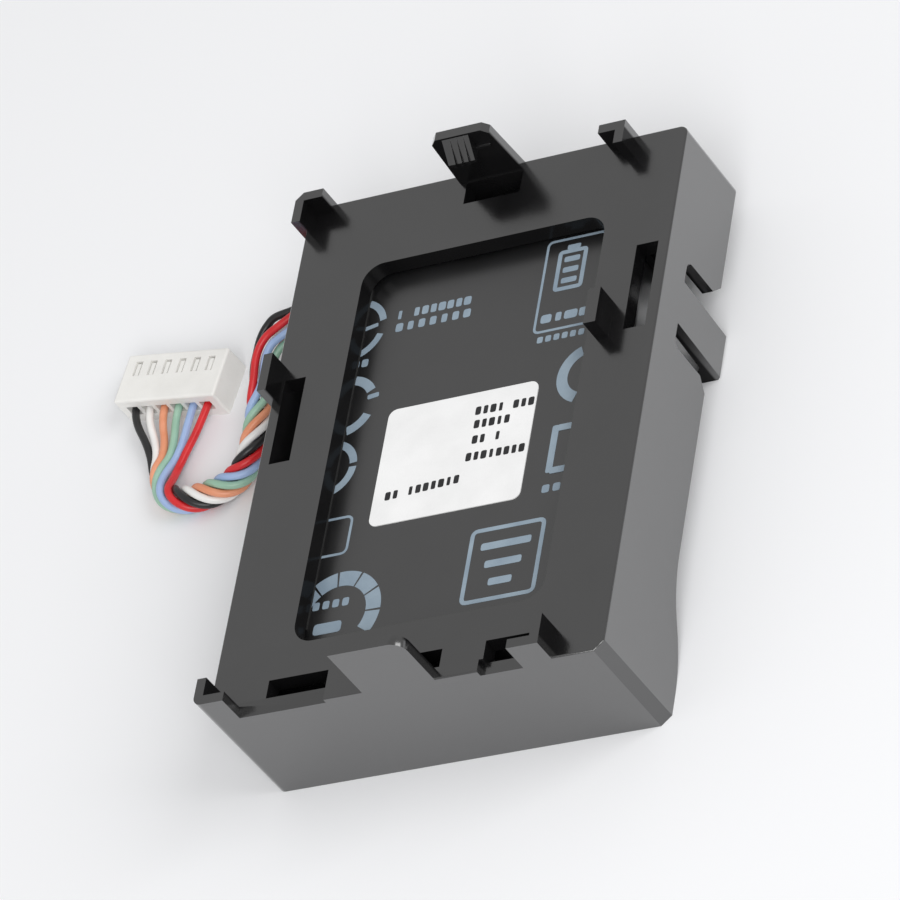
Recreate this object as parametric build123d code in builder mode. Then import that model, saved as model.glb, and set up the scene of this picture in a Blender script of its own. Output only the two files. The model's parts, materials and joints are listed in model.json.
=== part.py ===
"""Raid battery module: a sleeved lithium pack in a moulded clip-on carrier, with a six-wire lead and plug.

Millimetres, +Z up. The carrier lies on its open back with the window face up. X runs across it, +Y runs
towards the latch end, and the origin is under the middle of the carrier, at its foot.
"""

import math
import os

from build123d import *

os.makedirs("parts", exist_ok=True)

# Carrier moulding
carrier_width = 47.0
carrier_length = 66.3
carrier_height = 14.5
wall = 1.3
plate_thickness = 2.0
corner_round = 1.0
front_right_chamfer = 1.1
top_edge_round = 0.2
skirt_rise = 3.3
skirt_curve_length = 15.5
skirt_curve_from_front = 3.15

# Window in the plate, by the bars that are left round it
window_bar_left = 8.8
window_bar_right = 8.25
window_bar_front = 7.8
window_bar_back = 9.85
window_round = 2.5

# Snap arms in the side walls, each below a slot in the plate
slot_width = 2.6
slot_length = 10.9
right_arm_y = 12.65
left_arm_y = 4.35
arm_width = 5.3
arm_root_depth = 4.1
arm_lean = 0.3
arm_hook_reach = 2.7
arm_hook_height = 2.6
arm_hook_flat = 1.0
arm_tip_chamfer = 0.4
arm_gap_chamfer = 1.4
arm_gap_round = 1.0

# Latch on the back edge, with its ribbed catch
latch_x = -0.4
latch_width = 8.1
latch_top_width = 7.05
latch_rise = 7.5
latch_thickness = 1.1
latch_corner = 0.7
latch_hole_x = 0.1
latch_hole_width = 7.0
latch_hole_length = 2.8
catch_width = 3.25
catch_from_side = 2.0
catch_reach = 1.85
catch_drop = 2.1
catch_lip = 0.4
catch_top_drop = 0.25
catch_rib_count = 3
catch_rib_width = 0.35
catch_rib_rise = 0.2
latch_bar_rise = 4.9
latch_bar_height = 0.35
latch_bar_reach = 0.3

# Hooks that stand on the plate
hook_thickness = 1.1
hook_rise = 2.9
back_left_hook_x = 3.4
back_left_hook_y = 3.9
back_left_hook_corner = 0.9
back_right_hook_from_side = 6.0
back_right_hook_x = 3.2
back_right_hook_y = 2.9
left_hook_y = 9.2
left_hook_length = 4.8
front_left_hook_x = 3.7
front_left_hook_y = 3.3
front_right_hook_from_side = 5.95
front_right_hook_x = 3.65
front_right_hook_y = 3.6
right_hook_from_side = 5.55
right_hook_thickness = 1.45
right_hook_y = 8.85
right_hook_length = 4.45

# Front tab and the holes behind the front edge
tab_x = -0.4
tab_width = 8.6
tab_rise = 7.0
tab_thickness = 1.2
tab_round = 1.6
tab_left_round = 0.5
front_hole_length = 2.2
front_hole_from_front = 1.45
front_left_hole_x = -12.95
front_left_hole_width = 7.2
tab_hole_width = 8.5
front_right_hole_x = 13.1
front_right_hole_width = 7.4
rim_notch_x = 11.5
rim_notch_width = 5.2
rim_notch_depth = 0.8
rim_slope_drop = 0.6

# Ribs under the plate that locate the pack
locating_rib_thickness = 1.0
locating_rib_length = 6.0
locating_rib_depth = 5.0
locating_rib_y = 21.5
fit_clearance = 0.2

# Pack: cell, spacer, board and sleeve, as large as the carrier leaves room for
pack_gap_left = 4.45
pack_gap_right = 3.55
pack_gap_end = 3.3
pack_rise = 3.0
cell_round = 1.6
wrap_thickness = 0.25
wrap_round = 1.3
wrap_clearance = 0.15
tape_thickness = 0.5
tape_width = 1.6
tape_from_end = 6.55
spacer_length = 4.0
spacer_inset = 0.3
spacer_window = (5.0, 4.0)
spacer_window_from_end = 7.0
spacer_bead_hole = 2.2
board_thickness = 1.0
board_side_gap = 1.3
board_edge_gap = 0.5
board_bay_length = 2.6
tab_strip_thickness = 0.2
tab_strip_width = 3.2
tab_strip_pad = 3.0
bead_diameter = 1.6
bead_lead_diameter = 0.4
bead_lead_spacing = 0.8

# Parts on the board: width along X, height off the board, depth along Z
fuse_size = (2.6, 0.8, 3.2)
gauge_chip_size = (5.0, 1.2, 4.4)
transistor_size = (3.0, 1.0, 3.0)
transistor_count = 2
sense_resistor_size = (3.2, 0.7, 1.6)
chip_resistor_size = (1.0, 0.4, 0.5)
chip_resistor_pitch = 1.9
chip_resistor_count = 8
chip_resistor_drop = 2.9

# Label on the pack
label_width = 18.3
label_length = 15.0
label_thickness = 0.12
label_round = 1.0
label_offset_x = -0.9
label_offset_y = -2.7

# Lead: six wires, twisted and then fanned out to the plug
wire_diameter = 0.9
wire_pitch = 1.1
bundle_diameter = 3.1
wire_hole_clearance = 0.15
fan_run = 2.4
fan_step = 0.5
lead_offset = 0.2
lead_inner_run = 5.2
lead_outer_run = 7.0
solder_diameter = 1.0
notch_clearance = 0.75
bend_share = 0.45
wire_names = ("black", "white", "orange", "green", "blue", "red")

# Plug: white housing with six crimped contacts
plug_pitch = 2.0
plug_side = 1.9
plug_length = 6.4
plug_height = 3.8
plug_x = -46.8
plug_y = 20.2
plug_turn = -8.0
plug_edge_round = 0.3
cavity_size = 1.5
cavity_rise = 1.9
contact_hole = 0.9
contact_wall = 1.0
contact_width = 1.2
contact_height = 1.2
contact_length = 3.6
wire_in_plug = 0.9
plug_window_width = 0.95
plug_window_length = 1.9
plug_window_from_front = 1.05
tongue_width = 0.5
tongue_length = 1.65
tongue_thickness = 0.6
tongue_drop = 0.1

# Derived places of the carrier
half_width = carrier_width / 2
half_length = carrier_length / 2
underside = carrier_height - plate_thickness
inner_half_width = half_width - wall
inner_half_length = half_length - wall
window_width = carrier_width - window_bar_left - window_bar_right
window_length = carrier_length - window_bar_front - window_bar_back
window_x = (window_bar_left - window_bar_right) / 2
window_y = (window_bar_front - window_bar_back) / 2
skirt_start = -half_length + skirt_curve_from_front
skirt_end = skirt_start + skirt_curve_length
front_hole_y = -half_length + front_hole_from_front + front_hole_length / 2

# Derived places of the pack
pack_width = 2 * inner_half_width - pack_gap_left - pack_gap_right
pack_length = 2 * (inner_half_length - pack_gap_end)
pack_x = (pack_gap_left - pack_gap_right) / 2
pack_top = underside - tape_thickness
pack_thickness = pack_top - pack_rise
pack_middle = (pack_top + pack_rise) / 2
cell_width = pack_width - 2 * (wrap_clearance + wrap_thickness)
cell_thickness = pack_thickness - 2 * (wrap_clearance + wrap_thickness)
cell_front = wrap_thickness - pack_length / 2
board_face = pack_length / 2 - wrap_thickness - board_bay_length
board_back = board_face - board_thickness
cell_back = board_back - spacer_length
cell_length = cell_back - cell_front
board_width = cell_width - 2 * board_side_gap
board_height = cell_thickness - 2 * board_edge_gap
spacer_width = board_width - 2 * spacer_inset
spacer_window_x = board_width / 2 - spacer_window_from_end
tape_length = pack_length - 2 * tape_from_end

# Derived places of the lead: two rows of three wires leave the board
lead_row_inner = board_face + wire_diameter / 2
lead_row_outer = lead_row_inner + wire_pitch
lead_y = (lead_row_inner + lead_row_outer) / 2
lead_start_x = pack_x - pack_width / 2
lead_rise = pack_middle + lead_offset
lead_z = (lead_rise - wire_pitch, lead_rise, lead_rise + wire_pitch)
wire_hole = bundle_diameter + 2 * wire_hole_clearance

# The twisted stretch's route, from the sleeve's wire hole to where the wires part
bundle_route = [
    (lead_start_x, lead_y, lead_rise),
    (-22.6, lead_y, lead_rise),
    (-27.4, 25.2, 7.1),
    (-31.0, 21.2, 6.0),
    (-32.7, 16.2, 4.6),
    (-33.9, 11.6, 3.2),
    (-36.2, 7.9, 2.1),
    (-40.3, 7.1, 1.7),
    (-43.7, 8.5, 1.6),
    (-44.4, 11.4, 1.6),
]


def bend_radii(points):
    """Each corner's arc, which takes up to the bend share of its shorter run."""
    radii = []
    for before, corner, after in zip(points, points[1:], points[2:]):
        run_in = Vector(corner) - Vector(before)
        run_out = Vector(after) - Vector(corner)
        turn = math.radians(run_in.get_angle(run_out))
        radii.append(bend_share * min(run_in.length, run_out.length) / math.tan(turn / 2))
    return radii


def report_tube(name, tube, path_edges, diameter):
    """Print a tube's length and its volume as a share of section times length."""
    length = sum(edge.length for edge in path_edges)
    share = tube.volume / (math.pi * diameter**2 / 4 * length)
    print(f"{name} length {length:.2f}, volume share {share:.4f}")


# Carrier: one moulding with its walls, window, hooks, latch, tab and snap arms
with BuildPart() as carrier:
    with BuildSketch() as outline:
        Rectangle(carrier_width, carrier_length)
        fillet(outline.vertices().group_by(Axis.Y)[-1], radius=corner_round)
        front_left = outline.vertices().group_by(Axis.X)[0].sort_by(Axis.Y)[0]
        fillet(front_left, radius=corner_round)
        front_right = outline.vertices().group_by(Axis.X)[-1].sort_by(Axis.Y)[0]
        chamfer(front_right, length=front_right_chamfer)
    extrude(amount=carrier_height)
    fillet(carrier.faces().sort_by(Axis.Z)[-1].edges(), radius=top_edge_round)

    # Open back
    with BuildSketch():
        Rectangle(2 * inner_half_width, 2 * inner_half_length)
    extrude(amount=underside, mode=Mode.SUBTRACT)

    # Lower edge of the side and back walls, which drops to the foot in an S near the front
    with BuildSketch(Plane.YZ):
        with BuildLine():
            middle = ((skirt_start + skirt_end) / 2, skirt_rise / 2)
            lower_bend = TangentArc((skirt_start, 0), middle, tangent=(1, 0))
            TangentArc(middle, (skirt_end, skirt_rise), tangent=lower_bend % 1)
            Polyline(
                (skirt_end, skirt_rise),
                (carrier_length, skirt_rise),
                (carrier_length, -skirt_rise),
                (skirt_start, -skirt_rise),
                (skirt_start, 0),
            )
        make_face()
    extrude(amount=carrier_width, both=True, mode=Mode.SUBTRACT)

    # Window, slots and holes through the plate
    with BuildSketch(Plane.XY.offset(underside)):
        with Locations((window_x, window_y)):
            RectangleRounded(window_width, window_length, window_round)
        with Locations((inner_half_width - slot_width / 2, right_arm_y)):
            Rectangle(slot_width, slot_length)
        with Locations((-inner_half_width + slot_width / 2, left_arm_y)):
            Rectangle(slot_width, slot_length)
        with Locations((latch_hole_x, inner_half_length - latch_hole_length / 2)):
            Rectangle(latch_hole_width, latch_hole_length)
        with Locations((front_left_hole_x, front_hole_y)):
            Rectangle(front_left_hole_width, front_hole_length)
        with Locations((0, front_hole_y)):
            Rectangle(tab_hole_width, front_hole_length)
        with Locations((front_right_hole_x, front_hole_y)):
            Rectangle(front_right_hole_width, front_hole_length)
    extrude(amount=plate_thickness, mode=Mode.SUBTRACT)

    # Notch in the front rim beside the right-hand hook
    with BuildSketch(Plane.XY.offset(carrier_height - rim_notch_depth)):
        with Locations((rim_notch_x, -half_length)):
            Rectangle(rim_notch_width, 2 * front_hole_from_front)
    extrude(amount=rim_notch_depth, mode=Mode.SUBTRACT)

    # Slope of the front rim before the left-hand hole, from the corner hook to the hole's far end
    with BuildSketch(Plane.YZ.offset(front_left_hole_x + front_left_hole_width / 2)):
        with BuildLine():
            Polyline(
                (-half_length, carrier_height - rim_slope_drop),
                (-half_length, carrier_height),
                (-half_length + front_hole_from_front, carrier_height),
                close=True,
            )
        make_face()
    extrude(amount=-(half_width + front_left_hole_x + front_left_hole_width / 2), mode=Mode.SUBTRACT)

    # Snap arm in each side wall: an opening, and an arm leaning in it that ends in an inward hook
    arm_root = carrier_height - arm_root_depth
    arm_tip_x = half_width - arm_lean
    arm_hook_x = arm_tip_x - arm_hook_reach
    gap_half = slot_length / 2
    for side, arm_y in ((1, right_arm_y), (-1, left_arm_y)):
        with BuildSketch(Plane.YZ) as opening:
            with BuildLine():
                Polyline(
                    (arm_y - gap_half - arm_gap_chamfer, -skirt_rise),
                    (arm_y - gap_half - arm_gap_chamfer, skirt_rise),
                    (arm_y - gap_half, skirt_rise + arm_gap_chamfer),
                    (arm_y - gap_half, arm_root),
                    (arm_y + gap_half, arm_root),
                    (arm_y + gap_half, skirt_rise + arm_gap_chamfer),
                    (arm_y + gap_half + arm_gap_chamfer, skirt_rise),
                    (arm_y + gap_half + arm_gap_chamfer, -skirt_rise),
                    close=True,
                )
            make_face()
            fillet(opening.vertices().group_by(Axis.Y)[-1], radius=arm_gap_round)
        extrude(amount=side * carrier_width, mode=Mode.SUBTRACT)
        with BuildSketch(Plane.XZ.offset(-arm_y)):
            with BuildLine():
                Polyline(
                    (side * half_width, arm_root + wall),
                    (side * half_width, arm_root),
                    (side * arm_tip_x, arm_tip_chamfer),
                    (side * (arm_tip_x - arm_tip_chamfer), 0),
                    (side * (arm_hook_x + arm_tip_chamfer), 0),
                    (side * arm_hook_x, arm_tip_chamfer),
                    (side * arm_hook_x, arm_hook_flat),
                    (side * (arm_tip_x - wall), arm_hook_height),
                    (side * inner_half_width, arm_root),
                    (side * inner_half_width, arm_root + wall),
                    close=True,
                )
            make_face()
        extrude(amount=arm_width / 2, both=True)

    # Latch: a plate on the back edge, a wedge-shaped catch with ribs, and a stiffening bar
    latch_inner = half_length - latch_thickness
    latch_top = carrier_height + latch_rise
    with BuildSketch(Plane.XZ.offset(-latch_inner)):
        with BuildLine():
            Polyline(
                (latch_x - latch_width / 2, underside),
                (latch_x - latch_top_width / 2, latch_top - latch_corner),
                (latch_x - latch_top_width / 2 + latch_corner, latch_top),
                (latch_x + latch_top_width / 2 - latch_corner, latch_top),
                (latch_x + latch_top_width / 2, latch_top - latch_corner),
                (latch_x + latch_width / 2, underside),
                close=True,
            )
        make_face()
    extrude(amount=-latch_thickness)
    catch_left = latch_x - latch_width / 2 + catch_from_side
    catch_high = latch_top - catch_top_drop
    rib_gap = catch_width / (catch_rib_count + 1)
    catch_pieces = [(catch_left + catch_width / 2, catch_width, 0)]
    for number in range(catch_rib_count):
        catch_pieces.append((catch_left + rib_gap * (number + 1), catch_rib_width, catch_rib_rise))
    for middle_x, width, proud in catch_pieces:
        with BuildSketch(Plane.YZ.offset(middle_x)):
            with BuildLine():
                Polyline(
                    (half_length - latch_thickness / 2, catch_high),
                    (latch_inner, catch_high),
                    (latch_inner - catch_reach - proud, catch_high - catch_drop + proud),
                    (latch_inner - catch_reach - proud, catch_high - catch_drop - catch_lip),
                    (latch_inner, carrier_height + latch_bar_rise),
                    (half_length - latch_thickness / 2, carrier_height + latch_bar_rise),
                    close=True,
                )
            make_face()
        extrude(amount=width / 2, both=True)
    bar_left = catch_left + catch_width
    bar_right = latch_x + latch_top_width / 2 - latch_corner
    with Locations((bar_left, latch_inner, carrier_height + latch_bar_rise)):
        Box(
            bar_right - bar_left,
            2 * latch_bar_reach,
            latch_bar_height,
            align=(Align.MIN, Align.CENTER, Align.MIN),
        )

    # Low hooks on the plate: L shapes at its edges, and a straight one beside each slot
    with BuildSketch(Plane.XY.offset(underside)) as back_left_hook:
        with Locations((-half_width, half_length)):
            Rectangle(back_left_hook_x, back_left_hook_y, align=(Align.MIN, Align.MAX))
        corner = back_left_hook.vertices().sort_by(Axis.X)[:2].sort_by(Axis.Y)[-1]
        chamfer(corner, length=back_left_hook_corner)
        with Locations((-half_width + hook_thickness, half_length - hook_thickness)):
            Rectangle(
                back_left_hook_x,
                back_left_hook_y,
                align=(Align.MIN, Align.MAX),
                mode=Mode.SUBTRACT,
            )
    extrude(amount=plate_thickness + hook_rise)
    with BuildSketch(Plane.XY.offset(underside)) as front_left_hook:
        with Locations((-half_width, -half_length)):
            Rectangle(front_left_hook_x, front_left_hook_y, align=(Align.MIN, Align.MIN))
        corner = front_left_hook.vertices().sort_by(Axis.X)[:2].sort_by(Axis.Y)[0]
        fillet(corner, radius=corner_round)
        with Locations((-half_width + hook_thickness, -half_length + hook_thickness)):
            Rectangle(
                front_left_hook_x,
                front_left_hook_y,
                align=(Align.MIN, Align.MIN),
                mode=Mode.SUBTRACT,
            )
    extrude(amount=plate_thickness + hook_rise)
    with BuildSketch(Plane.XY.offset(underside)):
        with Locations((half_width - back_right_hook_from_side, half_length)):
            Rectangle(back_right_hook_x, hook_thickness, align=(Align.MAX, Align.MAX))
            Rectangle(hook_thickness, back_right_hook_y, align=(Align.MAX, Align.MAX))
        with Locations((half_width - front_right_hook_from_side, -half_length)):
            Rectangle(front_right_hook_x, hook_thickness, align=(Align.MAX, Align.MIN))
            Rectangle(hook_thickness, front_right_hook_y, align=(Align.MAX, Align.MIN))
        with Locations((-half_width, left_hook_y)):
            Rectangle(hook_thickness, left_hook_length, align=(Align.MIN, Align.CENTER))
        with Locations((half_width - right_hook_from_side, right_hook_y)):
            Rectangle(right_hook_thickness, right_hook_length, align=(Align.MAX, Align.CENTER))
    extrude(amount=plate_thickness + hook_rise)

    # Front tab, a rise of the front wall with a large and a small shoulder
    with BuildSketch(Plane.XZ.offset(half_length)) as tab:
        with Locations((tab_x, underside)):
            Rectangle(tab_width, plate_thickness + tab_rise, align=(Align.CENTER, Align.MIN))
        left_shoulder, right_shoulder = tab.vertices().group_by(Axis.Y)[-1].sort_by(Axis.X)
        fillet(right_shoulder, radius=tab_round)
        fillet(left_shoulder, radius=tab_left_round)
    extrude(amount=-tab_thickness)

    # Ribs under the plate beside the pack
    for side in (1, -1):
        rib_x = pack_x + side * (pack_width / 2 + fit_clearance + locating_rib_thickness / 2)
        with Locations((rib_x, locating_rib_y, underside), (rib_x, -locating_rib_y, underside)):
            Box(
                locating_rib_thickness,
                locating_rib_length,
                locating_rib_depth,
                align=(Align.CENTER, Align.CENTER, Align.MAX),
            )

    # Notch in the left wall for the lead
    with BuildSketch(Plane.YZ.offset(-half_width)) as notch:
        notch_top = lead_rise + bundle_diameter / 2 + notch_clearance
        notch_width = bundle_diameter + 2 * notch_clearance
        with Locations((lead_y, 0)):
            Rectangle(notch_width, notch_top, align=(Align.CENTER, Align.MIN))
        fillet(notch.vertices().group_by(Axis.Y)[-1], radius=notch_width / 3)
    extrude(amount=wall, mode=Mode.SUBTRACT)
carrier.part.label = "carrier"
export_step(carrier.part, "parts/carrier.step")

# Cell: a sealed aluminium can with round long edges
with BuildPart() as battery_cell:
    with Locations((pack_x, cell_front, pack_middle)):
        Box(cell_width, cell_length, cell_thickness, align=(Align.CENTER, Align.MIN, Align.CENTER))
    fillet(battery_cell.edges().filter_by(Axis.Y), radius=cell_round)
battery_cell.part.label = "battery_cell"
export_step(battery_cell.part, "parts/battery_cell.step")

# Spacer: holds the board off the cell's end, with windows for the two strips and the bead
with BuildPart() as end_spacer:
    with BuildSketch(Plane.XZ.offset(-cell_back)):
        with Locations((pack_x, pack_middle)):
            Rectangle(spacer_width, cell_thickness)
            Circle(spacer_bead_hole / 2, mode=Mode.SUBTRACT)
        with Locations((pack_x - spacer_window_x, pack_middle), (pack_x + spacer_window_x, pack_middle)):
            Rectangle(*spacer_window, mode=Mode.SUBTRACT)
    extrude(amount=-spacer_length)
end_spacer.part.label = "end_spacer"
export_step(end_spacer.part, "parts/end_spacer.step")

# Strips: bent nickel, one end on the cell and the other on the board's back
for name, side in (("positive_tab", -1), ("negative_tab", 1)):
    strip_x = pack_x + side * spacer_window_x - tab_strip_pad / 2
    with BuildPart() as strip:
        with BuildSketch(Plane.XY.offset(pack_middle)):
            with Locations((strip_x, cell_back)):
                Rectangle(tab_strip_pad, tab_strip_thickness, align=(Align.MIN, Align.MIN))
                Rectangle(tab_strip_thickness, spacer_length, align=(Align.MIN, Align.MIN))
            with Locations((strip_x, board_back)):
                Rectangle(tab_strip_pad, tab_strip_thickness, align=(Align.MIN, Align.MAX))
        extrude(amount=tab_strip_width / 2, both=True)
    strip.part.label = name
    export_step(strip.part, f"parts/{name}.step")

# Thermistor: a bead against the cell's end, on two leads from the board
with BuildPart() as thermistor:
    bead_y = cell_back + bead_diameter / 2
    with Locations((pack_x, bead_y, pack_middle)):
        Sphere(bead_diameter / 2)
    with BuildSketch(Plane.XZ.offset(-bead_y)):
        with Locations((pack_x, pack_middle)):
            with GridLocations(bead_lead_spacing, 0, 2, 1):
                Circle(bead_lead_diameter / 2)
    extrude(amount=bead_y - board_back)
thermistor.part.label = "thermistor"
export_step(thermistor.part, "parts/thermistor.step")

# Board across the end of the cell
with BuildPart() as protection_board:
    with Locations((pack_x, board_back, pack_middle)):
        Box(board_width, board_thickness, board_height, align=(Align.CENTER, Align.MIN, Align.CENTER))
protection_board.part.label = "protection_board"
export_step(protection_board.part, "parts/protection_board.step")

# Parts on the board's face, spread evenly from the wire ends to the board's far end
part_row = [("board_fuse", fuse_size), ("gauge_chip", gauge_chip_size)]
part_row += [("switch_transistors", transistor_size)] * transistor_count
part_row += [("sense_resistor", sense_resistor_size)]
row_start = lead_start_x + lead_outer_run + solder_diameter
row_length = pack_x + board_width / 2 - row_start
part_gap = (row_length - sum(size[0] for name, size in part_row)) / (len(part_row) + 1)
part_places = {}
part_left = row_start + part_gap
for name, size in part_row:
    part_places.setdefault(name, (size, []))[1].append((part_left + size[0] / 2, pack_middle))
    part_left += size[0] + part_gap
resistor_places = []
for number in range(chip_resistor_count):
    resistor_x = pack_x + (number - (chip_resistor_count - 1) / 2) * chip_resistor_pitch
    resistor_places.append((resistor_x, pack_middle - chip_resistor_drop))
part_places["chip_resistors"] = (chip_resistor_size, resistor_places)
for name, (size, places) in part_places.items():
    with BuildPart() as board_part:
        with Locations(*[(x, board_face, z) for x, z in places]):
            Box(*size, align=(Align.CENTER, Align.MIN, Align.CENTER))
    board_part.part.label = name
    export_step(board_part.part, f"parts/{name}.step")

# Wire ends on the board, in two rows of three, and the solder that holds each
lead_rows = (
    (lead_row_inner, lead_start_x + lead_inner_run),
    (lead_row_outer, lead_start_x + lead_outer_run),
)
with BuildPart() as board_leads:
    for row_y, end_x in lead_rows:
        with BuildSketch(Plane.YZ.offset(lead_start_x)):
            with Locations(*[(row_y, z) for z in lead_z]):
                Circle(wire_diameter / 2)
        extrude(amount=end_x - lead_start_x)
board_leads.part.label = "board_leads"
export_step(board_leads.part, "parts/board_leads.step")
with BuildPart() as lead_solder:
    for row_y, end_x in lead_rows:
        with BuildSketch(Plane.XZ.offset(-board_face)):
            with Locations(*[(end_x + solder_diameter / 2, z) for z in lead_z]):
                Circle(solder_diameter / 2)
        extrude(amount=board_face - row_y - wire_diameter / 2)
lead_solder.part.label = "lead_solder"
export_step(lead_solder.part, "parts/lead_solder.step")

# Sleeve: a thin skin round cell and board, with a hole for the wires in its left side
with BuildPart() as pack_wrap:
    with Locations((pack_x, 0, pack_middle)):
        Box(pack_width, pack_length, pack_thickness)
        fillet(pack_wrap.edges().filter_by(Axis.Y), radius=wrap_round)
        Box(
            pack_width - 2 * wrap_thickness,
            pack_length - 2 * wrap_thickness,
            pack_thickness - 2 * wrap_thickness,
            mode=Mode.SUBTRACT,
        )
    with BuildSketch(Plane.YZ.offset(lead_start_x)):
        with Locations((lead_y, lead_rise)):
            Circle(wire_hole / 2)
    extrude(amount=wrap_thickness, mode=Mode.SUBTRACT)
pack_wrap.part.label = "pack_wrap"
export_step(pack_wrap.part, "parts/pack_wrap.step")

# Label on the sleeve
with BuildPart() as pack_label:
    with BuildSketch(Plane.XY.offset(pack_top)):
        with Locations((pack_x + label_offset_x, label_offset_y)):
            RectangleRounded(label_width, label_length, label_round)
    extrude(amount=label_thickness)
pack_label.part.label = "pack_label"
export_step(pack_label.part, "parts/pack_label.step")

# Adhesive strips between the plate and the sleeve, on the sleeve's flat
for name, side in (("adhesive_strip_left", -1), ("adhesive_strip_right", 1)):
    strip_x = pack_x + side * (pack_width / 2 - wrap_round - tape_width / 2)
    with BuildPart() as tape:
        with Locations((strip_x, 0, pack_top)):
            Box(tape_width, tape_length, tape_thickness, align=(Align.CENTER, Align.CENTER, Align.MIN))
    tape.part.label = name
    export_step(tape.part, f"parts/{name}.step")

# Twisted stretch of the lead, as one tube of its outer size
bundle_bends = bend_radii(bundle_route)
print("wire_bundle radii", [round(r, 2) for r in bundle_bends])
with BuildPart() as wire_bundle:
    with BuildLine() as bundle_path:
        FilletPolyline(*bundle_route, radius=bundle_bends)
    with BuildSketch(Plane(origin=bundle_path.line @ 0, z_dir=bundle_path.line % 0)):
        Circle(bundle_diameter / 2)
    sweep(path=bundle_path.line)
report_tube("wire_bundle", wire_bundle.part, bundle_path.edges(), bundle_diameter)
wire_bundle.part.label = "wire_bundle"
export_step(wire_bundle.part, "parts/wire_bundle.step")

# Six wires from the end of the twist to the plug, spread from two rows to one
plug_width = plug_pitch * (len(wire_names) - 1) + 2 * plug_side
plug_across = Vector(math.cos(math.radians(plug_turn)), math.sin(math.radians(plug_turn)), 0)
plug_along = Vector(-plug_across.Y, plug_across.X, 0)
fan_start = Vector(*bundle_route[-1])
fan_along = (fan_start - Vector(*bundle_route[-2])).normalized()
fan_across = Vector(fan_along.Y, -fan_along.X, 0)
for number, name in enumerate(wire_names):
    place = number - (len(wire_names) - 1) / 2
    row = number % 2 - 0.5
    start = fan_start + fan_across * place * fan_step + Vector(0, 0, row * wire_pitch)
    entry = Vector(plug_x, plug_y, cavity_rise) + plug_across * place * plug_pitch
    route = [
        start,
        start + fan_along * fan_run,
        entry - plug_along * fan_run,
        entry + plug_along * wire_in_plug,
    ]
    bends = bend_radii(route)
    print(f"wire_{name} radii", [round(r, 2) for r in bends])
    with BuildPart() as wire:
        with BuildLine() as wire_path:
            FilletPolyline(*route, radius=bends)
        with BuildSketch(Plane(origin=wire_path.line @ 0, z_dir=wire_path.line % 0)):
            Circle(wire_diameter / 2)
        sweep(path=wire_path.line)
    report_tube(f"wire_{name}", wire.part, wire_path.edges(), wire_diameter)
    wire.part.label = f"wire_{name}"
    export_step(wire.part, f"parts/wire_{name}.step")

# Plug housing: a cavity for each contact, with a window over it in which a locking tongue lies
plug_plane = Plane(origin=(plug_x, plug_y, 0), x_dir=plug_across, z_dir=(0, 0, 1))
plug_places = [((n - (len(wire_names) - 1) / 2) * plug_pitch) for n in range(len(wire_names))]
cavity_floor = cavity_rise - cavity_size / 2
with BuildPart(plug_plane) as connector_housing:
    Box(plug_width, plug_length, plug_height, align=(Align.CENTER, Align.MIN, Align.MIN))
    fillet(connector_housing.edges().filter_by(Axis.Z), radius=plug_edge_round)
    fillet(connector_housing.faces().sort_by(Axis.Z)[-1].edges(), radius=plug_edge_round)
    with Locations(*[(x, 0, cavity_floor) for x in plug_places]):
        Box(
            cavity_size,
            plug_length - contact_wall,
            cavity_size,
            align=(Align.CENTER, Align.MIN, Align.MIN),
            mode=Mode.SUBTRACT,
        )
    with Locations(*[(x, plug_length, cavity_rise) for x in plug_places]):
        Box(contact_hole, 2 * contact_wall, contact_hole, mode=Mode.SUBTRACT)
    window_end = plug_length - plug_window_from_front
    with Locations(*[(x, window_end, cavity_rise) for x in plug_places]):
        Box(
            plug_window_width,
            plug_window_length,
            plug_height,
            align=(Align.CENTER, Align.MAX, Align.MIN),
            mode=Mode.SUBTRACT,
        )
    window_start = window_end - plug_window_length
    with Locations(*[(x, window_start, plug_height - tongue_drop) for x in plug_places]):
        Box(tongue_width, tongue_length, tongue_thickness, align=(Align.CENTER, Align.MIN, Align.MAX))
connector_housing.part.label = "connector_housing"
export_step(connector_housing.part, "parts/connector_housing.step")

# Contacts, each on its cavity's floor with its wire's end against it
with BuildPart(plug_plane) as crimp_terminals:
    with Locations(*[(x, wire_in_plug, cavity_floor) for x in plug_places]):
        Box(contact_width, contact_length, contact_height, align=(Align.CENTER, Align.MIN, Align.MIN))
crimp_terminals.part.label = "crimp_terminals"
export_step(crimp_terminals.part, "parts/crimp_terminals.step")
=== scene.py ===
"""The raid battery module, dressed for its portrait: a sleeved lithium pack clipped in a black carrier.

Metres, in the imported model's own frame: +Z out of the window face, +Y towards the latch end.
"""

import json
import math

import bmesh
import bpy
from mathutils import Matrix, Vector

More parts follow.
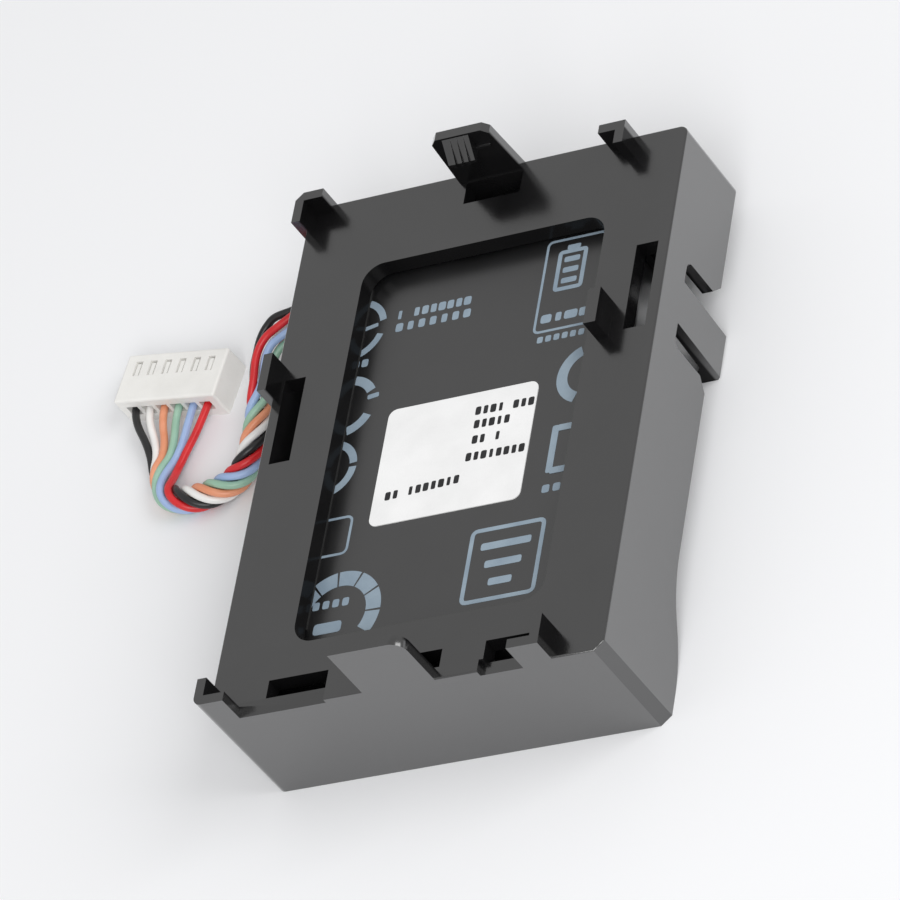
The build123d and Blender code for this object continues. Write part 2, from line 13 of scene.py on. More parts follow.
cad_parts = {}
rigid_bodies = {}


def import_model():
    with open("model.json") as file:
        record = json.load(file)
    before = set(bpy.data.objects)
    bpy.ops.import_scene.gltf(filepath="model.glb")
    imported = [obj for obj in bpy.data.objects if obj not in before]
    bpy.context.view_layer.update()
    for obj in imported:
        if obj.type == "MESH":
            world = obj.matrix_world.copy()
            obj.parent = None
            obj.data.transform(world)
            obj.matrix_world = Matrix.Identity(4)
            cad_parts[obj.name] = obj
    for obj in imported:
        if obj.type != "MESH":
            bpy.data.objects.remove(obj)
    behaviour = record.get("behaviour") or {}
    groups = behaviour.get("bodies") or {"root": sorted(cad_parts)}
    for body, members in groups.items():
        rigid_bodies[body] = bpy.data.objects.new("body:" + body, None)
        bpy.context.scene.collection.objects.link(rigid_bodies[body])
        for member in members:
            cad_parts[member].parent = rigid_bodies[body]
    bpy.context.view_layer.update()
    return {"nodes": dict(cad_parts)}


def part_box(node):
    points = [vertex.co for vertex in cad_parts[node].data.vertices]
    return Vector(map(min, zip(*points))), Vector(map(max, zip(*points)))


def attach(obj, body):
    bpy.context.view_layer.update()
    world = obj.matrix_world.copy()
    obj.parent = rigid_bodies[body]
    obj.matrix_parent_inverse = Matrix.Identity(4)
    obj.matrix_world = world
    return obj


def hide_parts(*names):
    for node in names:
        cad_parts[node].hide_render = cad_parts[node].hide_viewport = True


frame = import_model()
bpy.ops.object.select_all(action="DESELECT")

# Cell and end spacer
# The cell is a drawn aluminium can with rolled long edges, laser welded shut.
# A moulded spacer stands on its terminal end and keeps the board off the can.


def grain_group():
    """Shared effect: slow patches and a fine grain over a piece, both from 0 to 1."""
    group = bpy.data.node_groups.new("patch_and_grain", "ShaderNodeTree")
    for name, start in (("Patch Scale", 200.0), ("Grain Scale", 4000.0)):
        group.interface.new_socket(name, in_out="INPUT", socket_type="NodeSocketFloat").default_value = start
    for name in ("Patch", "Grain"):
        group.interface.new_socket(name, in_out="OUTPUT", socket_type="NodeSocketFloat")
    noise_low, noise_high = 0.3, 0.7
    nodes, links = group.nodes, group.links
    inputs, outputs = nodes.new("NodeGroupInput"), nodes.new("NodeGroupOutput")
    place = nodes.new("ShaderNodeTexCoord")
    for name, detail in (("Patch", 4.0), ("Grain", 2.0)):
        noise = nodes.new("ShaderNodeTexNoise")
        noise.inputs["Detail"].default_value = detail
        spread = nodes.new("ShaderNodeMapRange")
        spread.inputs["From Min"].default_value = noise_low
        spread.inputs["From Max"].default_value = noise_high
        links.new(place.outputs["Object"], noise.inputs["Vector"])
        links.new(inputs.outputs[f"{name} Scale"], noise.inputs["Scale"])
        links.new(noise.outputs["Fac"], spread.inputs["Value"])
        links.new(spread.outputs["Result"], outputs.inputs[name])
    return group


patch_and_grain = grain_group()


def finish(name, dark, light, rough, patch_scale, grain_scale, relief, metallic=0.0, ior=1.5, coat=0.0):
    """A surface that drifts between two colours and two roughnesses, with a fine relief in metres."""
    material = bpy.data.materials.new(name)
    material.use_nodes = True
    nodes, links = material.node_tree.nodes, material.node_tree.links
    shader = nodes["Principled BSDF"]
    shader.inputs["Metallic"].default_value = metallic
    shader.inputs["IOR"].default_value = ior
    shader.inputs["Coat Weight"].default_value = coat
    shader.inputs["Coat IOR"].default_value = ior
    shader.inputs["Coat Roughness"].default_value = sum(rough) / 2
    effect = nodes.new("ShaderNodeGroup")
    effect.node_tree = patch_and_grain
    effect.inputs["Patch Scale"].default_value = patch_scale
    effect.inputs["Grain Scale"].default_value = grain_scale
    colour = nodes.new("ShaderNodeMix")
    colour.name = "colour"
    colour.data_type = "RGBA"
    colour.inputs["A"].default_value = (*dark, 1.0)
    colour.inputs["B"].default_value = (*light, 1.0)
    gloss = nodes.new("ShaderNodeMapRange")
    gloss.inputs["To Min"].default_value, gloss.inputs["To Max"].default_value = rough
    bump = nodes.new("ShaderNodeBump")
    bump.inputs["Distance"].default_value = relief
    links.new(effect.outputs["Patch"], colour.inputs["Factor"])
    links.new(effect.outputs["Patch"], gloss.inputs["Value"])
    links.new(effect.outputs["Grain"], bump.inputs["Height"])
    links.new(colour.outputs["Result"], shader.inputs["Base Color"])
    links.new(gloss.outputs["Result"], shader.inputs["Roughness"])
    links.new(bump.outputs["Normal"], shader.inputs["Normal"])
    return material


def dress(node, material):
    """Give a solid of the frame its finish, on every slot."""
    slots = frame["nodes"][node].data.materials
    slots.clear()
    slots.append(material)


can_metal = finish(
    "can_metal",
    dark=(0.60, 0.61, 0.62),
    light=(0.76, 0.77, 0.78),
    rough=(0.28, 0.42),
    patch_scale=260,
    grain_scale=5200,
    relief=0.00001,
    metallic=1.0,
)
spacer_plastic = finish(
    "spacer_plastic",
    dark=(0.66, 0.64, 0.58),
    light=(0.74, 0.72, 0.66),
    rough=(0.42, 0.55),
    patch_scale=300,
    grain_scale=5000,
    relief=0.00001,
)
dress("battery_cell", can_metal)
dress("end_spacer", spacer_plastic)

# Strips, bead and board
# Two bent nickel strips run from the can to the back of a green glass-fibre board, and a
# resin bead on two leads feels the can's warmth. Small resin parts are soldered on the board.
nickel = finish(
    "nickel",
    dark=(0.54, 0.52, 0.47),
    light=(0.66, 0.64, 0.58),
    rough=(0.25, 0.40),
    patch_scale=500,
    grain_scale=6000,
    relief=0.000008,
    metallic=1.0,
)
bead_resin = finish(
    "bead_resin",
    dark=(0.015, 0.015, 0.017),
    light=(0.03, 0.03, 0.032),
    rough=(0.12, 0.22),
    patch_scale=700,
    grain_scale=5000,
    relief=0.000006,
)
solder_mask = finish(
    "solder_mask",
    dark=(0.012, 0.15, 0.045),
    light=(0.03, 0.22, 0.07),
    rough=(0.22, 0.36),
    patch_scale=320,
    grain_scale=4800,
    relief=0.000008,
)
chip_resin = finish(
    "chip_resin",
    dark=(0.018, 0.018, 0.019),
    light=(0.034, 0.034, 0.036),
    rough=(0.45, 0.60),
    patch_scale=600,
    grain_scale=7000,
    relief=0.00001,
)
fuse_body = finish(
    "fuse_body",
    dark=(0.60, 0.56, 0.48),
    light=(0.70, 0.66, 0.58),
    rough=(0.40, 0.55),
    patch_scale=600,
    grain_scale=6000,
    relief=0.000008,
)
solder = finish(
    "solder",
    dark=(0.62, 0.62, 0.62),
    light=(0.76, 0.76, 0.76),
    rough=(0.18, 0.32),
    patch_scale=900,
    grain_scale=5000,
    relief=0.00001,
    metallic=1.0,
)
for node, material in (
    ("positive_tab", nickel),
    ("negative_tab", nickel),
    ("thermistor", bead_resin),
    ("protection_board", solder_mask),
    ("gauge_chip", chip_resin),
    ("switch_transistors", chip_resin),
    ("sense_resistor", chip_resin),
    ("chip_resistors", chip_resin),
    ("board_fuse", fuse_body),
    ("lead_solder", solder),
):
    dress(node, material)

# Sleeve
# A black shrink film is drawn tight round cell and board, and shows through the carrier's window.
# It is lapped on itself along the pack's back, where a flat seam runs from end to end.
weld_gap = 0.000002
flat_angle = math.radians(1.0)
sharp_angle = math.radians(40)
smooth_angle = math.radians(32)
edge_steps = 2


def eased_copy(node, name, material, edge_break):
    """One of the frame's solids, welded into one skin, with its sharp edges broken by a small radius."""
    piece = bpy.data.objects.new(name, frame["nodes"][node].data.copy())
    bpy.context.collection.objects.link(piece)
    bpy.context.view_layer.objects.active = piece
    piece.select_set(True)
    piece.data.materials.clear()
    piece.data.materials.append(material)
    bpy.ops.object.mode_set(mode="EDIT")
    bpy.ops.mesh.select_all(action="SELECT")
    bpy.ops.mesh.remove_doubles(threshold=weld_gap)
    bpy.ops.mesh.dissolve_limited(angle_limit=flat_angle)
    bpy.ops.object.mode_set(mode="OBJECT")
    rounding = piece.modifiers.new("edge_break", "BEVEL")
    rounding.width = edge_break
    rounding.segments = edge_steps
    rounding.limit_method = "ANGLE"
    rounding.angle_limit = sharp_angle
    bpy.ops.object.modifier_apply(modifier=rounding.name)
    bpy.ops.object.shade_smooth_by_angle(angle=smooth_angle)
    levelling = piece.modifiers.new("level_faces", "WEIGHTED_NORMAL")
    levelling.keep_sharp = True
    bpy.ops.object.modifier_apply(modifier=levelling.name)
    piece.select_set(False)
    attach(piece, "root")
    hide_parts(node)
    return piece


sleeve_film = finish(
    "sleeve_film",
    dark=(0.005, 0.005, 0.0054),
    light=(0.008, 0.008, 0.0086),
    rough=(0.28, 0.38),
    patch_scale=160,
    grain_scale=2600,
    relief=0.000003,
    ior=1.66,
    coat=1.0,
)
film_edge = 0.0003
sleeve = eased_copy("pack_wrap", "film_sleeve", sleeve_film, film_edge)
seam_width = 0.0032
seam_lap = 0.00006
seam_inset = 0.0004
seam_cuts = 24
film_low, film_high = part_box("pack_wrap")
bpy.ops.mesh.primitive_plane_add(size=1.0, location=(0, 0, 0))
seam = bpy.context.object
seam.name = "film_seam"
seam.data.materials.append(sleeve_film)
seam_place = ((film_low[0] + film_high[0]) / 2, (film_low[1] + film_high[1]) / 2, film_low[2])
bpy.ops.object.mode_set(mode="EDIT")
bpy.ops.mesh.subdivide(number_cuts=seam_cuts)
seam_length = film_high[1] - film_low[1] - 2 * seam_inset
bpy.ops.transform.resize(value=(seam_width, seam_length, 1.0), center_override=(0, 0, 0))
bpy.ops.transform.translate(value=seam_place)
bpy.ops.mesh.extrude_region_move(TRANSFORM_OT_translate={"value": (0, 0, -seam_lap)})
bpy.ops.mesh.select_all(action="SELECT")
bpy.ops.mesh.normals_make_consistent(inside=False)
bpy.ops.object.mode_set(mode="OBJECT")
seam.select_set(False)
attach(seam, "root")

# Print on the sleeve
# Plain figures in one pale grey ink are screen printed on the film: a battery in a frame, rows of
# dashes, broken rings and plain frames. They are laid on before the film is shrunk.
ink_depth = 0.00002
hairline = 0.0003
stroke = 0.0005
stroke_easing = 0.25
stroke_steps = 2
frame_steps = 4
ring_steps = 72


def start_print(name, material):
    """An empty print, open for its strokes."""
    sheet = bpy.data.objects.new(name, bpy.data.meshes.new(name))
    bpy.context.collection.objects.link(sheet)
    bpy.context.view_layer.objects.active = sheet
    sheet.select_set(True)
    sheet.data.materials.append(material)
    bpy.ops.object.mode_set(mode="EDIT")
    bpy.ops.mesh.select_mode(type="FACE")
    return sheet


def ink_bar(x, y, level, length, width, turn=0.0):
    """A straight stroke with eased corners, round its middle."""
    middle = (x, y, level)
    bpy.ops.mesh.primitive_plane_add(size=1.0, location=middle)
    bpy.ops.transform.resize(value=(length, width, 1.0), center_override=middle)
    bpy.ops.mesh.bevel(affect="VERTICES", offset=stroke_easing * min(length, width), segments=stroke_steps)
    bpy.ops.transform.rotate(value=-turn, orient_axis="Z", center_override=middle)


def ink_frame(x, y, level, width, length, line, corner):
    """The outline of a box with round corners."""
    middle = (x, y, level)
    bpy.ops.mesh.primitive_plane_add(size=1.0, location=middle)
    bpy.ops.transform.resize(value=(width, length, 1.0), center_override=middle)
    bpy.ops.mesh.bevel(affect="VERTICES", offset=corner, segments=frame_steps)
    bpy.ops.mesh.inset(thickness=line)
    bpy.ops.mesh.delete(type="FACE")


def ink_arc(sheet, x, y, level, radius, width, start, sweep):
    """A curved stroke: a ring round its middle, less the part outside the sweep."""
    middle = Vector((x, y, level))
    bpy.ops.mesh.primitive_circle_add(
        vertices=ring_steps,
        radius=radius + width / 2,
        fill_type="NGON",
        location=middle,
        rotation=(0, 0, start),
    )
    bpy.ops.mesh.inset(thickness=width)
    bpy.ops.mesh.select_linked()
    shape = bmesh.from_edit_mesh(sheet.data)
    for face in shape.faces:
        if face.select:
            way = face.calc_center_median() - middle
            outside = (math.atan2(way.y, way.x) - start) % math.tau > sweep
            face.select_set(outside or way.length < radius / 2)
    bmesh.update_edit_mesh(sheet.data)
    bpy.ops.mesh.delete(type="FACE")


def end_print(sheet):
    """Close the print and give its ink a thickness."""
    bpy.ops.object.mode_set(mode="OBJECT")
    body = sheet.modifiers.new("ink_depth", "SOLIDIFY")
    body.thickness = ink_depth
    body.offset = 1.0
    bpy.ops.object.modifier_apply(modifier=body.name)
    sheet.select_set(False)
    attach(sheet, "root")


pale_ink = finish(
    "pale_ink",
    dark=(0.23, 0.30, 0.37),
    light=(0.31, 0.39, 0.46),
    rough=(0.40, 0.55),
    patch_scale=300,
    grain_scale=3000,
    relief=0.000004,
)
film_top = film_high[2]
film_print = start_print("film_print", pale_ink)

# A battery in a frame, with dashes under it
battery_x, battery_y = 0.0101, 0.0190
cap_y = 0.0220
charge_low, charge_step = 0.0176, 0.0014
caption_left, caption_step, caption_y = 0.0081, 0.0015, 0.0129
under_left, under_step, under_y = 0.0078, 0.0010, 0.0102
ink_frame(x=0.0104, y=0.0172, level=film_top, width=0.0074, length=0.0122, line=hairline, corner=0.0007)
ink_frame(
    x=battery_x,
    y=battery_y,
    level=film_top,
    width=0.0036,
    length=0.0054,
    line=stroke,
    corner=0.0005,
)
ink_bar(x=battery_x, y=cap_y, level=film_top, length=0.0016, width=0.0006)
for number in range(3):
    ink_bar(
        x=battery_x,
        y=charge_low + charge_step * number,
        level=film_top,
        length=0.0019,
        width=0.0007,
    )
for number, length in enumerate((0.0013, 0.0007, 0.0016, 0.0010)):
    ink_bar(
        x=caption_left + caption_step * number,
        y=caption_y,
        level=film_top,
        length=length,
        width=0.0011,
    )
for number in range(6):
    ink_bar(x=under_left + under_step * number, y=under_y, level=film_top, length=0.0007, width=0.0008)

# Two rows of dashes, the upper one with a gap
row_height = 0.0011
upper_left, upper_step, upper_y = -0.0107, 0.00105, 0.0177
upper_lengths = (0.0004, 0.0, 0.0006, 0.0008, 0.0007, 0.0009, 0.0008, 0.0007, 0.0009)
lower_left, lower_step, lower_y = -0.0105, 0.0014, 0.0160
lower_lengths = (0.0009, 0.0007, 0.0008, 0.0008, 0.0007, 0.0008, 0.0009)
for number, length in enumerate(upper_lengths):
    if length:
        ink_bar(
            x=upper_left + upper_step * number,
            y=upper_y,
            level=film_top,
            length=length,
            width=row_height,
        )
for number, length in enumerate(lower_lengths):
    ink_bar(
        x=lower_left + lower_step * number,
        y=lower_y,
        level=film_top,
        length=length,
        width=row_height,
    )

# Broken rings down the left side, with a bar, a block or a frame beside them
pair_left, pair_step, pair_y = -0.0152, 0.0011, 0.0121
for x, y, radius, width, start, sweep in (
    (-0.0163, 0.0168, 0.0036, 0.0008, 12, 55),
    (-0.0163, 0.0168, 0.0036, 0.0008, -72, 56),
    (-0.0156, 0.0066, 0.0034, 0.0011, 28, 50),
    (-0.0156, 0.0066, 0.0034, 0.0011, -76, 50),
    (-0.0163, -0.0014, 0.0032, 0.0009, 6, 58),
    (-0.0163, -0.0014, 0.0032, 0.0009, -68, 64),
):
    ink_arc(
        film_print,
        x=x,
        y=y,
        level=film_top,
        radius=radius,
        width=width,
        start=math.radians(start),
        sweep=math.radians(sweep),
    )
ink_bar(x=-0.0146, y=0.0168, level=film_top, length=0.0026, width=stroke, turn=math.radians(12))
ink_bar(x=-0.0122, y=0.0074, level=film_top, length=0.0014, width=0.0006, turn=math.radians(8))
for number in range(2):
    ink_bar(x=pair_left + pair_step * number, y=pair_y, level=film_top, length=0.0008, width=0.0010)
ink_frame(
    x=-0.0139,
    y=-0.0105,
    level=film_top,
    width=0.0044,
    length=0.0050,
    line=hairline,
    corner=0.0008,
)

# A thick ring in six fields at the lower left, with blocks inside it
ring_x, ring_y = -0.0116, -0.0207
field_start, field_step, field_sweep = -34, 33, 29
block_left, block_step, block_y = -0.0143, 0.0012, -0.0192
for number in range(6):
    field_turn = math.radians(field_start + field_step * number)
    ink_arc(
        film_print,
        x=ring_x,
        y=ring_y,
        level=film_top,
        radius=0.0045,
        width=0.0018,
        start=field_turn,
        sweep=math.radians(field_sweep),
    )
for number in range(4):
    ink_bar(x=block_left + block_step * number, y=block_y, level=film_top, length=0.0008, width=0.0010)
ink_bar(x=-0.0124, y=-0.0222, level=film_top, length=0.0034, width=0.0014)

# A plain frame at the lower right, with bars of three lengths inside
list_x, list_y = 0.0080, -0.0179
list_top, list_step = -0.0156, 0.0023
ink_frame(x=list_x, y=list_y, level=film_top, width=0.0090, length=0.0094, line=stroke, corner=0.0008)
for number, length in enumerate((0.0060, 0.0044, 0.0028)):
    ink_bar(x=list_x, y=list_top - list_step * number, level=film_top, length=length, width=0.0009)

# Marks at the right: half a ring, an angle and two blocks
mark_left, mark_step, mark_y = 0.0117, 0.0013, -0.0096
ink_arc(
    film_print,
    x=0.0146,
    y=0.0046,
    level=film_top,
    radius=0.0032,
    width=0.0013,
    start=math.radians(112),
    sweep=math.radians(136),
)
ink_bar(x=mark_left, y=-0.0046, level=film_top, length=0.0008, width=0.0060)
ink_bar(x=0.0131, y=-0.0020, level=film_top + ink_depth, length=0.0024, width=0.0008)
ink_bar(x=0.0128, y=-0.0074, level=film_top + ink_depth, length=0.0020, width=0.0008)
for number in range(2):
    ink_bar(x=mark_left + mark_step * number, y=mark_y, level=film_top, length=0.0009, width=0.0010)
end_print(film_print)

# Label
# A coated white paper label with round corners is stuck on the film, and carries five short rows of
# plain dashes in black, laid down by a ribbon printer.
label_paper = finish(
    "label_paper",
    dark=(0.86, 0.86, 0.86),
    light=(0.93, 0.93, 0.93),
    rough=(0.45, 0.60),
    patch_scale=220,
    grain_scale=5200,
    relief=0.000008,
)
dress("pack_label", label_paper)
label_ink = finish(
    "label_ink",
    dark=(0.010, 0.010, 0.011),
    light=(0.022, 0.022, 0.024),
    rough=(0.45, 0.60),
    patch_scale=600,
    grain_scale=4000,
    relief=0.000003,
)
label_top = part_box("pack_label")[1][2]
label_print = start_print("label_print", label_ink)
dash_step = 0.00092
dash_height = 0.00105
dash_lengths = (0.00066, 0.00052, 0.00070, 0.00040, 0.00062)
for row_start, row_y, row_slant, dashes in (
    (0.0017, 0.00235, -0.00002, "11110111"),
    (0.0018, 0.00060, -0.00002, "11111"),
    (0.0019, -0.00140, -0.00001, "1101"),
    (0.0015, -0.00355, -0.00002, "11111111"),
    (-0.0078, -0.00660, 0.00005, "1101111111"),
):
    for number, dash in enumerate(dashes):
        if dash == "1":
            dash_x = row_start + dash_step * number
            dash_length = dash_lengths[number % len(dash_lengths)]
            ink_bar(
                x=dash_x,
                y=row_y + row_slant * number,
                level=label_top,
                length=dash_length,
                width=dash_height,
            )
end_print(label_print)

# Adhesive strips
# Two strips of black foam tape hold the pack under the carrier's plate.
# They are die cut from sheet, and show only in the window's shade.
tape_foam = finish(
    "tape_foam",
    dark=(0.010, 0.010, 0.010),
    light=(0.018, 0.018, 0.018),
    rough=(0.80, 0.95),
    patch_scale=900,
    grain_scale=3600,
    relief=0.00004,
)
dress("adhesive_strip_left", tape_foam)
dress("adhesive_strip_right", tape_foam)

# Carrier
# One injection moulding in black, satin from its tool: plate, walls, hooks, latch and snap arms.
# Its edges are broken by a small radius, as a tool's edges always are.
# Painted shade: upright faces inside the outline get a low IOR and no coat, so they reflect little and
# render dark as if in shade.
outer_ior, shade_ior = 1.69, 1.20
outer_coat, shade_coat = 1.0, 0.0
outer_edge = (0.0224, 0.0321)
edge_fade = 0.0003
leaning, upright_from = 0.60, 0.45


def painted_shade_group():
    """Shared effect, painted shade: 1 on upright faces within the outline, whose reflection is turned down
    so that they render dark as if shaded, and 0 elsewhere.
    """
    group = bpy.data.node_groups.new("painted_shade_faces", "ShaderNodeTree")
    for name, start in (("Edge X", 1.0), ("Edge Y", 1.0), ("Fade", 0.001)):
        group.interface.new_socket(name, in_out="INPUT", socket_type="NodeSocketFloat").default_value = start
    group.interface.new_socket("Mask", in_out="OUTPUT", socket_type="NodeSocketFloat")
    nodes, links = group.nodes, group.links
    inputs, outputs = nodes.new("NodeGroupInput"), nodes.new("NodeGroupOutput")
    place = nodes.new("ShaderNodeTexCoord")
    spot = nodes.new("ShaderNodeSeparateXYZ")
    facing = nodes.new("ShaderNodeSeparateXYZ")
    links.new(place.outputs["Object"], spot.inputs["Vector"])
    links.new(place.outputs["Normal"], facing.inputs["Vector"])
    lean = nodes.new("ShaderNodeMath")
    lean.operation = "ABSOLUTE"
    links.new(facing.outputs["Z"], lean.inputs[0])
    upright = nodes.new("ShaderNodeMapRange")
    upright.inputs["From Min"].default_value = leaning
    upright.inputs["From Max"].default_value = upright_from
    links.new(lean.outputs["Value"], upright.inputs["Value"])
    mask = upright.outputs["Result"]
    for axis in ("X", "Y"):
        away = nodes.new("ShaderNodeMath")
        away.operation = "ABSOLUTE"
        links.new(spot.outputs[axis], away.inputs[0])
        beyond = nodes.new("ShaderNodeMath")
        beyond.operation = "ADD"
        links.new(inputs.outputs[f"Edge {axis}"], beyond.inputs[0])
        links.new(inputs.outputs["Fade"], beyond.inputs[1])
        within = nodes.new("ShaderNodeMapRange")
        links.new(away.outputs["Value"], within.inputs["Value"])
        links.new(beyond.outputs["Value"], within.inputs["From Min"])
        links.new(inputs.outputs[f"Edge {axis}"], within.inputs["From Max"])
        both = nodes.new("ShaderNodeMath")
        both.operation = "MULTIPLY"
        links.new(mask, both.inputs[0])
        links.new(within.outputs["Result"], both.inputs[1])
        mask = both.outputs["Value"]
    links.new(mask, outputs.inputs["Mask"])
    return group


carrier_plastic = finish(
    "carrier_plastic",
    dark=(0.0050, 0.0049, 0.0052),
    light=(0.0080, 0.0078, 0.0082),
    rough=(0.15, 0.21),
    patch_scale=140,
    grain_scale=3800,
    relief=0.000003,
    ior=outer_ior,
    coat=outer_coat,
)
nodes, links = carrier_plastic.node_tree.nodes, carrier_plastic.node_tree.links
painted_shade_faces = nodes.new("ShaderNodeGroup")
painted_shade_faces.node_tree = painted_shade_group()
painted_shade_faces.inputs["Edge X"].default_value, painted_shade_faces.inputs["Edge Y"].default_value = outer_edge
painted_shade_faces.inputs["Fade"].default_value = edge_fade
# Painted shade: on the masked faces the IOR drops and the coat goes, so recesses, hook sides and window
# walls render dark.
for socket, outer, inner in (("IOR", outer_ior, shade_ior), ("Coat Weight", outer_coat, shade_coat)):
    level = nodes.new("ShaderNodeMapRange")
    level.inputs["To Min"].default_value = outer
    level.inputs["To Max"].default_value = inner
    links.new(painted_shade_faces.outputs["Mask"], level.inputs["Value"])
    links.new(level.outputs["Result"], nodes["Principled BSDF"].inputs[socket])
tool_radius = 0.00016
carrier = eased_copy("carrier", "carrier_moulding", carrier_plastic, tool_radius)

# Plug and contacts
# A white nylon housing, moulded with six cavities and six locking tongues in their windows.
# Tinned contacts are crimped on the wires and pushed in from behind until they click.
plug_nylon = finish(
    "plug_nylon",
    dark=(0.83, 0.82, 0.79),
    light=(0.90, 0.89, 0.86),
    rough=(0.30, 0.42),
    patch_scale=260,
    grain_scale=4200,
    relief=0.00001,
)
contact_tin = finish(
    "contact_tin",
    dark=(0.58, 0.50, 0.34),
    light=(0.70, 0.63, 0.47),
    rough=(0.22, 0.36),
    patch_scale=800,
    grain_scale=6000,
    relief=0.000008,
    metallic=1.0,
)
dress("connector_housing", plug_nylon)
dress("crimp_terminals", contact_tin)

# Lead
# Six stranded wires in coloured insulation leave the film's side, twisted together by hand, loosely
# at first and then tightly. The twist curls round on the table and opens into a fan before the plug.
wire_diameter = 0.0009
wire_steps = 4
wire_smooth_angle = math.radians(60)
route_steps = 16
wire_colours = {
    "black": ((0.012, 0.012, 0.013), (0.024, 0.023, 0.024)),
    "white": ((0.82, 0.81, 0.79), (0.90, 0.89, 0.87)),
    "orange": ((0.78, 0.29, 0.15), (0.86, 0.37, 0.22)),
    "green": ((0.30, 0.50, 0.37), (0.37, 0.58, 0.45)),
    "blue": ((0.32, 0.45, 0.72), (0.40, 0.53, 0.80)),
    "red": ((0.60, 0.014, 0.018), (0.74, 0.028, 0.034)),
}
lead_route = [
    (-0.01775, 0.0267, 0.0077),
    (-0.0229, 0.0270, 0.0077),
    (-0.0283, 0.0233, 0.0076),
    (-0.0319, 0.0214, 0.0068),
    (-0.0323, 0.0162, 0.0048),
    (-0.0333, 0.0112, 0.0032),
    (-0.0349, 0.0080, 0.0022),
    (-0.0395, 0.0067, 0.0018),
    (-0.0443, 0.0071, 0.0018),
]
fan_low = Vector((-0.0467, 0.0109, 0.0016))
fan_low_step = 0.00055
fan_low_lift = {
    "black": -0.0010,
    "white": 0.0001,
    "orange": 0.0007,
    "green": 0.0002,
    "blue": 0.0,
    "red": 0.0,
}
fan_high = Vector((-0.0460, 0.0145, 0.0016))
fan_high_step = 0.00105
plug_middle = Vector((-0.0468, 0.0202, 0.0019))
plug_turn = math.radians(-8.0)
plug_pitch = 0.0020
plug_across = Vector((math.cos(plug_turn), math.sin(plug_turn), 0))
plug_along = Vector((-math.sin(plug_turn), math.cos(plug_turn), 0))
wire_run_in = 0.0009
wire_in_plug = 0.0009
twist_radius = 0.00115
twist_start = math.radians(-341.3)
strand_apart = math.radians(60.0)
slack_pitch = 0.103
tight_pitch = 0.0096
fan_pitch = 0.024
tight_from, tight_to = 0.0179, 0.0369
tighten_run = 0.0050
fan_from, fan_to = 0.0394, 0.0464
slack_black, slack_black_at, slack_black_run = 0.0009, 0.0128, 0.0034


def line_through(points):
    """Points along the smooth curve that has the route's points as its controls."""
    curve = bpy.data.curves.new("route", "CURVE")
    curve.dimensions = "3D"
    curve.resolution_u = route_steps
    spline = curve.splines.new("NURBS")
    spline.points.add(len(points) - 1)
    for control, place in zip(spline.points, points):
        control.co = (*place, 1.0)
    spline.order_u = 3
    spline.use_endpoint_u = True
    holder = bpy.data.objects.new("route", curve)
    bpy.context.collection.objects.link(holder)
    bpy.context.view_layer.update()
    seen = holder.evaluated_get(bpy.context.evaluated_depsgraph_get())
    mesh = bpy.data.meshes.new_from_object(seen)
    line = [vertex.co.copy() for vertex in mesh.vertices]
    bpy.data.objects.remove(holder)
    bpy.data.curves.remove(curve)
    bpy.data.meshes.remove(mesh)
    return line


def eased(share):
    """A share from 0 to 1 that starts and ends gently."""
    share = min(max(share, 0.0), 1.0)
    return share * share * (3 - 2 * share)


def twisted(line, number, slack):
    """The line wound round its own route as one strand of the twist, until the fan takes over."""
    wound = []
    run = 0.0
    turn = twist_start + strand_apart * number
    for index, place in enumerate(line):
        stride = (place - line[index - 1]).length if index else 0.0
        run += stride
        taut = eased((run - tight_from) / tighten_run)
        loose = eased((run - tight_to) / tighten_run)
        winding = (1 - taut) / slack_pitch + (taut - loose) / tight_pitch + loose / fan_pitch
        turn += math.tau * stride * winding
        reach = twist_radius * eased((fan_to - run) / (fan_to - fan_from))
        reach += slack * eased(1 - abs(run - slack_black_at) / slack_black_run)
        ahead = line[min(index + 1, len(line) - 1)] - line[max(index - 1, 0)]
        ahead.normalize()
        top = (Vector((0, 0, 1)) - ahead * ahead.z).normalized()
        strand = place + (top * math.cos(turn) + ahead.cross(top) * math.sin(turn)) * reach
        strand.z = max(strand.z, wire_diameter / 2)
        wound.append(strand)
    return wound


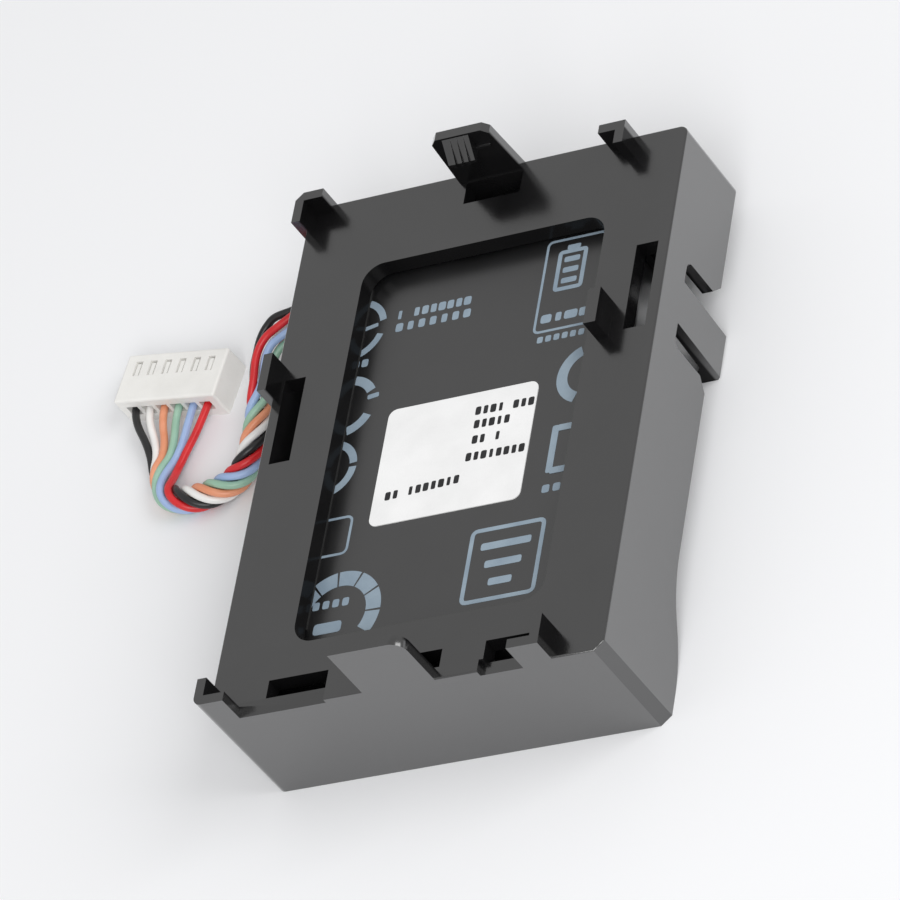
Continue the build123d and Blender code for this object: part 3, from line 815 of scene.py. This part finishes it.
for number, (colour, (dark, light)) in enumerate(wire_colours.items()):
    place = number - (len(wire_colours) - 1) / 2
    entry = plug_middle + plug_across * (place * plug_pitch)
    fan = [
        fan_low + plug_across * (place * fan_low_step) + Vector((0, 0, fan_low_lift[colour])),
        fan_high + plug_across * (place * fan_high_step),
        entry - plug_along * wire_run_in,
        entry + plug_along * wire_in_plug,
    ]
    slack = slack_black if colour == "black" else 0.0
    line = twisted(line_through([*lead_route, *fan]), number, slack)
    curve = bpy.data.curves.new(f"{colour}_wire", "CURVE")
    curve.dimensions = "3D"
    curve.bevel_depth = wire_diameter / 2
    curve.bevel_resolution = wire_steps
    curve.use_fill_caps = True
    spline = curve.splines.new("POLY")
    spline.points.add(len(line) - 1)
    for point, spot in zip(spline.points, line):
        point.co = (*spot, 1.0)
    wire = bpy.data.objects.new(f"{colour}_wire", curve)
    bpy.context.collection.objects.link(wire)
    bpy.context.view_layer.objects.active = wire
    wire.select_set(True)
    bpy.ops.object.convert(target="MESH")
    bpy.ops.object.shade_smooth_by_angle(angle=wire_smooth_angle)
    wire.select_set(False)
    insulation = finish(
        f"insulation_{colour}",
        dark=dark,
        light=light,
        rough=(0.30, 0.42),
        patch_scale=420,
        grain_scale=2600,
        relief=0.000006,
    )
    wire.data.materials.clear()
    wire.data.materials.append(insulation)
    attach(wire, "root")
    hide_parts(f"wire_{colour}")
    if colour == "black":
        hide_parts("wire_bundle")
        dress("board_leads", insulation)
    length = sum((b - a).length for a, b in zip(line, line[1:]))

# Table
# A plain white sweep, matt as paper, lies flat under the part.
# It is stage and no piece of the part.
floor_size = 4.0
bpy.ops.mesh.primitive_plane_add(size=floor_size)
table = bpy.context.object
table.name = "table"
table.data.materials.append(
    finish(
        "table_paper",
        dark=(0.89, 0.895, 0.91),
        light=(0.915, 0.92, 0.935),
        rough=(0.80, 0.90),
        patch_scale=3,
        grain_scale=40,
        relief=0.00001,
    )
)

# Light
# An even white room, and two broad soft boxes, one in front and one at the right.
# They stand off the pieces' mirror directions, so the black mouldings show only the room and the table.
room_strength = 0.52
room = bpy.data.worlds.new("room")
bpy.context.scene.world = room
room.use_nodes = True
room.node_tree.nodes["Background"].inputs["Color"].default_value = (1.0, 1.0, 1.0, 1.0)
room.node_tree.nodes["Background"].inputs["Strength"].default_value = room_strength
subject = Vector((0.0, 0.0, 0.008))
for name, place, size, power in (
    ("front_box", (0.5, -0.9, 0.9), 0.8, 8.8),
    ("right_box", (1.0, 0.1, 0.8), 0.8, 6.6),
):
    lamp = bpy.data.lights.new(name, "AREA")
    lamp.size = size
    lamp.energy = power
    box = bpy.data.objects.new(name, lamp)
    box.location = place
    box.rotation_mode = "QUATERNION"
    box.rotation_quaternion = (subject - box.location).to_track_quat("-Z", "Y")
    bpy.context.collection.objects.link(box)

# Camera
# A long lens looks down on the window face from the front right.
# It is rolled, so that the pack stands askew in the picture.
sensor_width = 36.0
lens = 253.2
camera_place = Vector((0.31883, -0.37077, 0.45809))
look = Vector((-0.48375, 0.55762, -0.67457)).normalized()
right = Vector((0.85783, 0.14927, -0.49178))
right = (right - look * right.dot(look)).normalized()
up = right.cross(look)
camera = bpy.data.objects.new("camera", bpy.data.cameras.new("camera"))
camera.data.sensor_width = sensor_width
camera.data.lens = lens
camera.matrix_world = Matrix.Translation(camera_place) @ Matrix((right, up, -look)).transposed().to_4x4()
bpy.context.collection.objects.link(camera)
bpy.context.scene.camera = camera
bpy.context.scene.view_settings.view_transform = "Standard"
